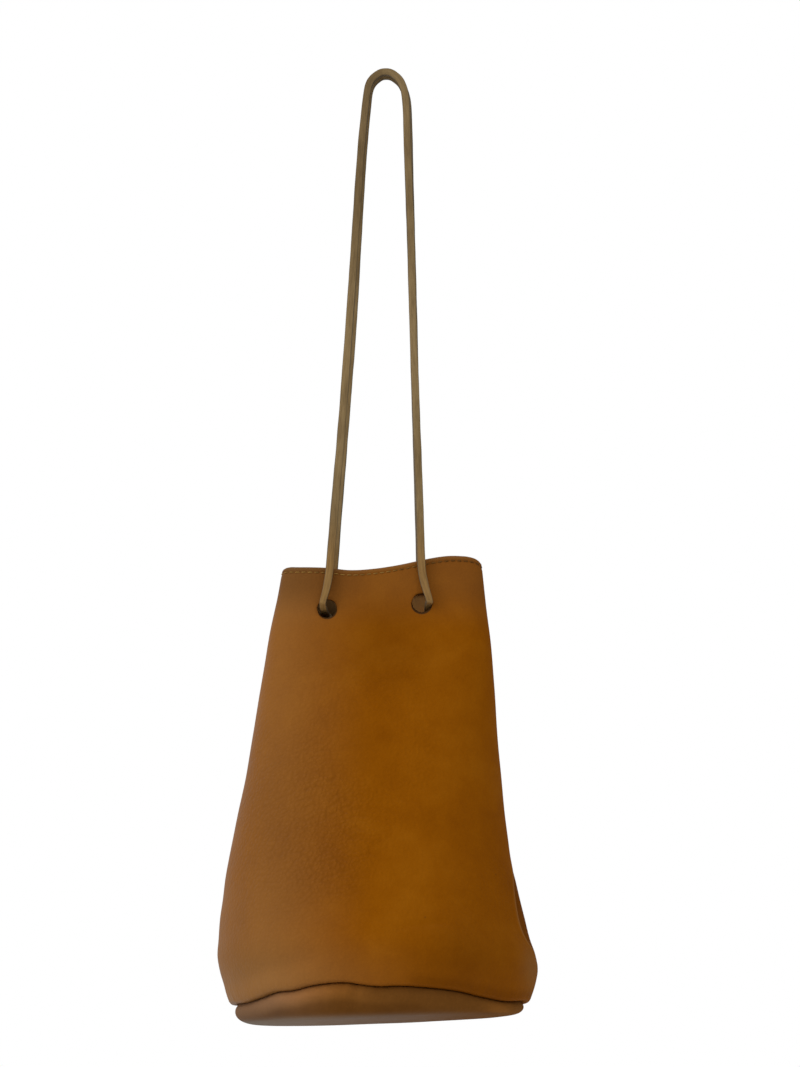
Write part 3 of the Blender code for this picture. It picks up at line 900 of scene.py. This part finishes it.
def body_marks(coords):
    """Wear and painted sheen, painted shade, grainy and painted light amounts at places on the body."""
    x, y, z = coords.T
    front = (y < 0).astype(float)
    inner_back = (np.abs(y) < DEPTH(z) - 1.2 * MM) & (y > 0)
    rim = rim_height(np.clip(x / 0.0765, -1, 1), y < 0)
    above_seam = z - seam_height(np.arctan2(-y, x))
    behind = behind_seam(x, y, z)
    leftward = rising(-x, 0.0, 0.085)
    # Where the right side seam is turned forward
    turned = rising(z, 0.031, 0.006) * falling(z, 0.108, 0.02) * (x > 0.06)

    def spot(across, up):
        """A soft round patch. Across and up are each its middle and its reach."""
        return bell(x, *across) * bell(z, *up)

    # Painted sheen to the left, high up and low down, a painted highlight on the bulge and on the turned
    # ridge, and wear and painted highlight along the rim's fold
    wear_and_sheen = 0.38 * leftward + 0.1 * leftward * falling(z, 0.11, 0.08)
    wear_and_sheen += 0.3 * bell(z, rim - 0.0006, 0.0022) + 0.24 * rising(z, 0.26, 0.05)
    wear_and_sheen += 0.2 * falling(z, 0.045, 0.04) * (1 - 0.8 * rising(x, -0.02, 0.06))
    wear_and_sheen += 0.4 * spot((0.108, 0.009), (0.022, 0.016)) + 0.55 * turned * bell(behind, -0.0036, 0.0015)

    # Darker along the stitches and round the holes' edges, and painted shade along the base seam and the side
    # seams
    shade = 0.25 * bell(z, rim - STITCH_DROP, 0.001) + 0.25 * falling(above_seam, 0.0011, 0.0011)
    shade += 0.35 * bell(above_seam, 0.003, 0.004) * rising(x, 0.015, 0.015) * front
    shade += 0.5 * bell(behind, 0.0, 0.0016) * (np.abs(x) > 0.06) * (z < rim - 0.002)
    for hole_x, side, hole_z in HOLES:
        from_edge = bell(np.hypot(x - hole_x, z - hole_z), HOLE_RADIUS, 0.0011)
        shade += 0.45 * np.where(y * side > 0, from_edge, 0)
    # Painted shade: darker high up, in the upper middle, on the left and low on the right, the shadow behind
    # the turned ridge, and the inside behind the left holes
    shade += rising(z, 0.275, 0.03) * (0.18 + 0.38 * rising(-x, 0.0, 0.05))
    shade += 0.36 * rising(z, 0.2, 0.05) * falling(z, 0.305, 0.03) * bell(x, 0.005, 0.035)
    shade += 0.16 * spot((-0.045, 0.05), (0.11, 0.08)) * front
    shade += 0.42 * spot((0.06, 0.035), (0.022, 0.026)) * front
    shade += 0.6 * turned * rising(behind, -0.0026, 0.0014) * falling(behind, 0.044, 0.016)
    shade += 0.92 * spot((-0.036, 0.017), (0.276, 0.02)) * inner_back

    # The grain is open in patches, most of all low on the left
    left_low = spot((-0.055, 0.042), (0.115, 0.075)) * front
    patch = noise_at(coords, (16, 16, 12), (3, 0, 0))
    grainy = 0.18 + 0.55 * rising(patch, 0.02, 0.3) * (0.35 + 0.65 * left_low) + 0.75 * left_low

    # Painted light: a highlight above the base on the left and on the turned ridge, and light inside behind
    # the right holes
    painted_light = 0.22 * bell(above_seam, 0.008, 0.007) * bell(x, -0.07, 0.036) * front
    painted_light += 0.22 * turned * bell(behind, -0.0036, 0.0012)
    painted_light += 0.75 * spot((0.033, 0.015), (0.281, 0.016)) * inner_back
    return np.clip(np.stack((wear_and_sheen, shade, grainy, painted_light), 1), 0, 1)


body_coords = own_coords(body.data)
set_marks(body.data, body_coords, body_marks(body_coords))
body.data.shade_smooth()
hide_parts("front_panel", "back_panel")
bend(body)


# ---- base
SHOULDER = 87.6
WALL_REACH = 14.6


def base_points():
    """The base's rings from the centre round the edge to the inside, their kinds, both centres."""
    angles = tau * np.arange(264) / 264
    deg = np.degrees(angles)
    seam = seam_height(angles) - 0.3 * MM
    rings = []
    kinds = []
    # The left of the bottom edge is rounder than the rest
    soften = 6.4 * np.clip(-np.cos(angles), 0, 1) ** 2
    shoulder = (SHOULDER - soften) * MM
    spread = shoulder / (SHOULDER * MM)

    def ring(radius, z, kind):
        radius = np.broadcast_to(radius, angles.shape)
        z = np.broadcast_to(z, angles.shape)
        rings.append(np.stack((radius * np.cos(angles), -radius * np.sin(angles), z), 1))
        kinds.append(kind)

    def floor_at(radius):
        """The bottom's height: tilted, and sagging a little towards its middle."""
        x = radius * np.cos(angles)
        y = -radius * np.sin(angles)
        sag = 0.9 * MM * noise_at(np.stack((x, y, np.full(x.shape, 4.0)), -1), (22, 22, 1))
        return -0.0122 + 0.0395 * x + 0.036 * y + sag * falling(radius, 0.1, 0.03)

    for radius in np.array((6, 12, 20, 28, 36, 44, 52, 60, 68, 75, 81, 86)) * MM:
        ring(radius * spread, floor_at(radius * spread), "outside")
    bottom = floor_at(shoulder)
    wrinkles = 0.16 * np.sin(deg * 2.3 + 2 * np.sin(deg * 0.17)) + 0.1 * np.sin(deg * 5.1)
    for height, middle, width in (
        (1.1, 101, 1.3), (-0.9, 98.8, 1.0), (0.8, 95.5, 1.1), (0.8, 92.4, 0.9), (-0.7, 90.7, 0.8),
        (0.5, 88.9, 0.9),
    ):
        wrinkles = wrinkles + height * bell(deg, middle, width)
    reach = (WALL_REACH + soften + 1.4 * np.sin(angles) ** 2) * MM
    turns = np.radians(np.linspace(-90, 32, 22))
    for turn in turns:
        share = (sin(turn) + 1) / (sin(turns[-1]) + 1)
        radius = shoulder + reach * max(cos(turn), 0.0) ** 0.72 + wrinkles * MM * share
        ring(radius, bottom + (seam - bottom) * share, "outside")
    ring(100.4 * MM, seam, "outside")
    ring(FLANGE_RADIUS, seam, "cut")
    ring(FLANGE_RADIUS, seam - LEATHER, "cut")
    ring(99.2 * MM, seam - LEATHER - 0.1 * MM, "inside")
    inner_floor = bottom + LEATHER
    for share in np.linspace(1.0, 0.0, 9):
        turn = radians(-90 + 120 * share)
        height = inner_floor + (seam - LEATHER - 0.5 * MM - inner_floor) * (sin(turn) + 1) / 1.5
        ring(shoulder + (WALL_REACH + soften - 2.4) * MM * max(cos(turn), 0.0) ** 0.8, height, "inside")
    for radius in np.array((86, 80, 70, 58, 46, 34, 22, 12, 6)) * MM:
        ring(radius * spread, floor_at(radius * spread) + LEATHER, "inside")
    low = floor_at(0.0)[0]
    return np.array(rings), kinds, [(0, 0, low), (0, 0, low + LEATHER)]


def base_marks(points):
    """Wear and painted sheen, painted shade, grainy and painted light amounts at places on the base."""
    x, y, z = points.T
    below = seam_height(np.arctan2(-y, x)) - z
    radius = np.hypot(x, y)
    under = falling(radius, 0.1, 0.007) * rising(below, 0.005, 0.002)
    wall = 1 - under
    # Painted sheen: the wall and the bottom greyer towards the left
    wear_and_sheen = wall * (0.05 + 0.35 * rising(-x, 0.02, 0.07)) + under * np.clip(0.52 - 5.0 * x, 0.0, 1.0)
    # Painted highlights on the wall just under the seam on the left and at its right end, and painted light
    # on the bottom to the left
    highlight_share = (0.03 + 0.95 * falling(x, 0.004, 0.045)) * (1 - 0.62 * rising(-x, 0.06, 0.03))
    painted_light = wall * bell(below, 0.003, 0.0065) * highlight_share
    painted_light += wall * 0.55 * bell(x, 0.083, 0.01) * bell(below, 0.006, 0.005)
    painted_light += under * 0.32 * falling(x, 0.02, 0.08)
    # Painted shade: a thin dark line just under the seam, and the lower wall darker except on the right
    shade = 0.12 * falling(below, 0.0009, 0.0009) * (radius > 0.09)
    shade += wall * 0.3 * rising(below, 0.0095, 0.004) * falling(x, 0.06, 0.05)
    grainy = np.full(len(points), 0.25)
    return np.stack((wear_and_sheen, shade, grainy, np.clip(painted_light, 0, 1)), 1)


def make_base():
    rings, kinds, centres = base_points()
    count, around = rings.shape[:2]
    points = np.concatenate((rings.reshape(-1, 3), centres))
    under_centre = count * around
    faces = band_faces(count, around)
    face_kinds = [kind for kind in kinds[:-1] for _ in range(around)]
    last = (count - 1) * around
    for k in range(around):
        beside = (k + 1) % around
        faces.append((under_centre, beside, k))
        faces.append((under_centre + 1, last + k, last + beside))
        face_kinds += ["outside", "inside"]
    mesh = new_mesh("leather_base", points, faces)
    set_marks(mesh, points, base_marks(points))
    return link_leather(mesh, face_kinds, BASE_LEATHER)


base = make_base()
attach(base, "bag_back")
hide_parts("base_panel")


# ---- stitches
RIM_PITCH = 4.9 * MM
SEAM_PITCH = 4.6 * MM
THREAD_RADIUS = 0.44 * MM
# Places along a stitch, as a share of its half length
STITCH_SHARES = np.linspace(-1.0, 1.0, 9)


def one_stitch(places, away, sides):
    """The rings of one arched thread through places on the leather."""
    away = [Vector(direction) for direction in away]
    line = []
    for place, out, share in zip(places, away, STITCH_SHARES):
        line.append(Vector(place) + out * (0.34 - 0.95 * abs(share) ** 3.2) * MM)
    points = []
    for step, (place, out) in enumerate(zip(line, away)):
        tangent = (line[min(step + 1, len(line) - 1)] - line[max(step - 1, 0)]).normalized()
        across = tangent.cross(out).normalized()
        up = across.cross(tangent)
        for k in range(sides):
            turn = tau * k / sides
            points.append(place + (across * cos(turn) + up * sin(turn)) * THREAD_RADIUS)
    return points


def make_stitches(name, node_name, lines):
    """Separate stitches along lines. Each line is (points, outward directions, pitch)."""
    sides = 8
    stitch_faces = tube_faces(len(STITCH_SHARES), sides)
    points = []
    faces = []
    for line, outward, pitch in lines:
        lengths = np.concatenate(([0.0], np.cumsum(np.linalg.norm(np.diff(line, axis=0), axis=1))))
        count = int(lengths[-1] / pitch)
        start = (lengths[-1] - (count - 1) * pitch) / 2
        for number in range(count):
            at = start + number * pitch + pitch * 0.36 * STITCH_SHARES
            places = np.stack([np.interp(at, lengths, column) for column in line.T], 1)
            away = np.stack([np.interp(at, lengths, column) for column in outward.T], 1)
            away /= np.linalg.norm(away, axis=1)[:, None]
            first = len(points)
            points += one_stitch(places, away, sides)
            faces += [tuple(first + corner for corner in face) for face in stitch_faces]
    mesh = new_mesh(name, points, faces)
    set_marks(mesh, own_coords(mesh), np.zeros((len(points), 3)))
    stitches = link(mesh, THREAD)
    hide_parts(node_name)
    return stitches


def row_line(height, kind, first, last):
    """The points of the body's row nearest a nominal height, with outward directions."""
    numbers = [number for number, found in enumerate(body_kinds) if found == kind]
    points = body_points[min(numbers, key=lambda number: abs(rows[number][0] - height))]
    tangent = np.roll(points, -1, axis=0) - np.roll(points, 1, axis=0)
    outward = np.stack((-tangent[:, 1], tangent[:, 0], np.zeros(len(tangent))), 1)
    outward /= np.linalg.norm(outward, axis=1)[:, None]
    outward[np.sum(outward[:, :2] * points[:, :2], axis=1) < 0] *= -1
    if kind == "hem":
        outward = -outward
    return points[first:last], outward[first:last]


# Round the mouth: stitches on the outside and on the hem
for name, node_name, start in (
    ("mouth_stitches_front", "rim_thread_front", 0), ("mouth_stitches_back", "rim_thread_back", HALF_COLUMNS),
):
    first = start + 5
    last = start + HALF_COLUMNS - 4
    outer = row_line(HEIGHT - STITCH_DROP, "outside", first, last)
    inner = row_line(HEIGHT - STITCH_DROP, "hem", first + 4, last - 4)
    stitches = make_stitches(name, node_name, [(*outer, RIM_PITCH), (*inner, RIM_PITCH)])
    bend(stitches)

# Side seams: stitches on both faces of the turned allowances
inner_rows = [number for number, kind in enumerate(body_kinds) if kind == "inside"][:-5]
for name, node_name, seam_column in (
    ("side_seam_stitches_left", "side_seam_thread_left", HALF_COLUMNS),
    ("side_seam_stitches_right", "side_seam_thread_right", 0),
):
    lines = []
    for side in (-1, 1):
        tip = body_points[inner_rows, (seam_column + 4 * side) % COLUMNS]
        foot = body_points[inner_rows, (seam_column + 5 * side) % COLUMNS]
        outward = foot - body_points[inner_rows, (seam_column - 5 * side) % COLUMNS]
        outward /= np.linalg.norm(outward, axis=1)[:, None]
        lines.append((foot * 0.9 + tip * 0.1, outward, SEAM_PITCH))
    bend(make_stitches(name, node_name, lines))

# Base seam: stitches on the panels' turned allowance, seen inside the bag
ring_angles = np.linspace(0.0, tau, 361)
ring_radius = SEAM_RADIUS - 5.2 * MM
ring_points = np.stack((
    ring_radius * np.cos(ring_angles), -ring_radius * np.sin(ring_angles), seam_height(ring_angles) + LEATHER,
), 1)
upward = np.tile((0.0, 0.0, 1.0), (len(ring_angles), 1))
base_stitches = make_stitches("base_seam_stitches", "base_seam_thread", [(ring_points, upward, SEAM_PITCH)])
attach(base_stitches, "bag_back")


# ---- floor and light
def make_floor():
    bm = bmesh.new()
    bmesh.ops.create_circle(bm, cap_ends=True, segments=96, radius=14.0)
    mesh = bpy.data.meshes.new("studio_floor")
    bm.to_mesh(mesh)
    bm.free()
    nodes = Nodes(bpy.data.materials.new("studio_floor"))
    material = nodes.shaded(Base_Color=(0.86, 0.86, 0.86), Roughness=0.9)
    floor = link(mesh, material)
    floor.location = (0.0, 0.0, cad_box[0][2] - 0.75)


def add_light(name, place, width, height, power, colour):
    """A soft panel light, turned to the middle of the bag."""
    data = bpy.data.lights.new(name, "AREA")
    data.shape = "RECTANGLE"
    data.size = width
    data.size_y = height
    data.energy = power
    data.color = colour
    light = bpy.data.objects.new(name, data)
    light.location = placed(place)
    towards = placed((0.0, 0.0, 0.15)) - light.location
    light.rotation_euler = towards.to_track_quat("-Z", "Y").to_euler()
    bpy.context.scene.collection.objects.link(light)


def make_world():
    """White to look at, and a dimmer studio to be lit by: brighter above and to the left."""
    world = bpy.data.worlds.new("studio")
    nodes = Nodes(world)
    seen = nodes.tree.nodes["Background"]
    nodes.feed(seen.inputs["Color"], (1.0, 1.0, 1.0))
    direction = nodes.add("TexCoord", {}).outputs["Generated"]
    lean = nodes.add("VectorMath", {0: direction, 1: (-0.5, -0.12, 0.86)}, operation="DOT_PRODUCT")
    glow = nodes.ramp(
        nodes.remap(lean.outputs["Value"], -1.0, 1.0),
        (0.0, (0.13, 0.12, 0.105)), (0.28, (0.2, 0.192, 0.18)), (0.5, (0.38, 0.373, 0.36)),
        (1.0, (0.96, 0.972, 1.0)),
    )
    lit = nodes.add("Background", {"Color": glow})
    is_camera = nodes.add("LightPath", {}).outputs["Is Camera Ray"]
    chosen = nodes.add("MixShader", {0: is_camera, 1: lit.outputs[0], 2: seen.outputs[0]})
    nodes.feed(nodes.tree.nodes["World Output"].inputs["Surface"], chosen.outputs[0])
    bpy.context.scene.world = world


make_floor()
make_world()
bpy.context.scene.view_settings.view_transform = "Standard"
bpy.context.scene.view_settings.look = "None"
add_light("key_light", (-1.9, -1.1, 0.9), 0.8, 2.6, 14.0, (1.0, 0.99, 0.98))
add_light("front_fill", (0.5, -2.6, 0.9), 2.2, 2.2, 10.5, (1.0, 0.98, 0.95))
